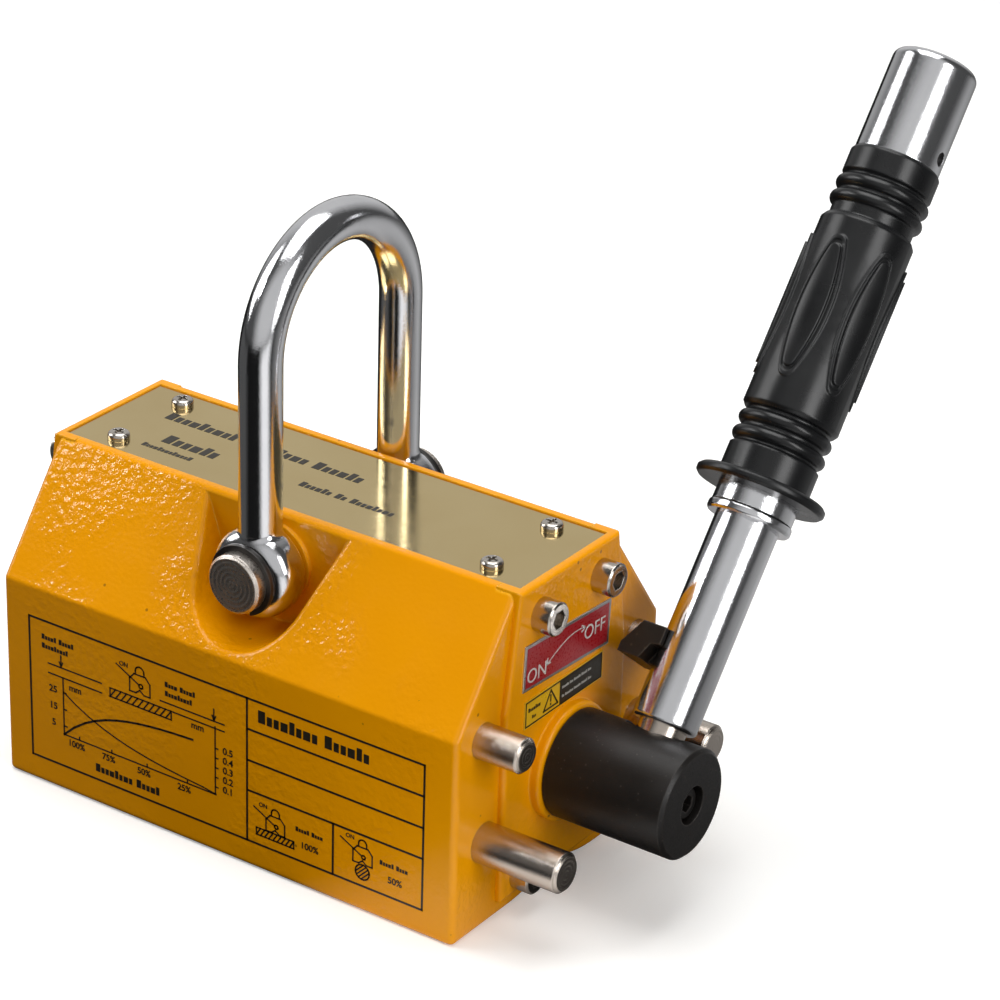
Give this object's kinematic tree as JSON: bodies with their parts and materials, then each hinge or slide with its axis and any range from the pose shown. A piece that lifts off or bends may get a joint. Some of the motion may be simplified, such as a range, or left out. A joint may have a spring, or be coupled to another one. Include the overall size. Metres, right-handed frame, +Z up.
{
  "type": "lifting magnet",
  "caption": "Block-shaped permanent lifting magnet with a turning lever, a sliding safety grip and a swinging lifting shackle.",
  "frame": {"origin": "centre of the body on the plane of its two pole faces, the point that goes over the load's centre of gravity", "axes": "+Z up towards the shackle, +X towards the lever end, -Y towards the long side with the data panel"},
  "size_m": [0.2071, 0.1932, 0.2086],
  "materials": {
    "yellow_enamel": "glossy baked enamel over cast and milled steel",
    "polished_brass": "polished",
    "chrome_plate": "bright chrome plate",
    "nickel_plate": "satin nickel plate",
    "turned_steel": "turned steel",
    "black_oxide": "black oxide, satin",
    "black_moulding": "moulded, satin",
    "zinc_screw": "bright zinc plate",
    "spring_steel": "oiled spring steel",
    "bronze": "sintered bronze",
    "mild_steel": "milled steel",
    "magnet_block": "nickel-plated magnet",
    "aluminium_bar": "milled",
    "red_label": "printed foil label",
    "caution_label": "printed foil label"
  },
  "bodies": {
    "housing": {"near_pole_yoke": "yellow_enamel", "far_pole_yoke": "yellow_enamel", "front_end_plate": "yellow_enamel", "rear_end_plate": "yellow_enamel", "top_spacer_bar": "aluminium_bar", "bottom_gap_strip": "aluminium_bar", "fixed_magnets": "magnet_block", "nameplate": "polished_brass", "nameplate_screws": "zinc_screw", "end_plate_screws": "zinc_screw", "on_off_label": "red_label", "caution_label": "caution_label", "lock_pins": "nickel_plate", "stop_pins": "nickel_plate", "shackle_pins": "turned_steel", "retaining_rings": "spring_steel", "front_bush": "bronze", "rear_bush": "bronze", "thrust_washers": "bronze"},
    "rotor": {"rotor_poles": "mild_steel", "rotor_magnets": "magnet_block", "rotor_side_bars": "aluminium_bar", "rotor_screws": "zinc_screw", "front_shaft": "turned_steel", "rear_shaft": "turned_steel", "drive_key": "mild_steel", "handle_hub": "black_oxide", "hub_screw": "black_oxide", "lever_stud": "turned_steel", "lever_tube": "chrome_plate"},
    "grip": {"safety_key": "black_oxide", "key_pin": "turned_steel", "push_rod": "turned_steel", "grip_sleeve": "chrome_plate", "grip_set_screw": "black_oxide", "hand_grip": "black_moulding", "spring_seat": "zinc_screw", "return_spring": "spring_steel"},
    "shackle": {"shackle": "chrome_plate"}
  },
  "joints": [
    {"name": "handle_turn", "type": "hinge", "parent": "housing", "child": "rotor", "pos_m": [0.1, 0, 0.0368], "axis": [1, 0, 0], "range_deg": [0, 79.3]},
    {"name": "grip_slide", "type": "slide", "parent": "rotor", "child": "grip", "axis": [0, -0.6382, -0.7698], "range_m": [0, 0.006], "stiffness_N_per_m": 2000, "springref_m": -0.006, "deforming": ["return_spring"]},
    {"name": "shackle_swing", "type": "hinge", "parent": "housing", "child": "shackle", "pos_m": [0, 0, 0.0815], "axis": [0, 1, 0], "range_deg": [-58, 58]}
  ]
}
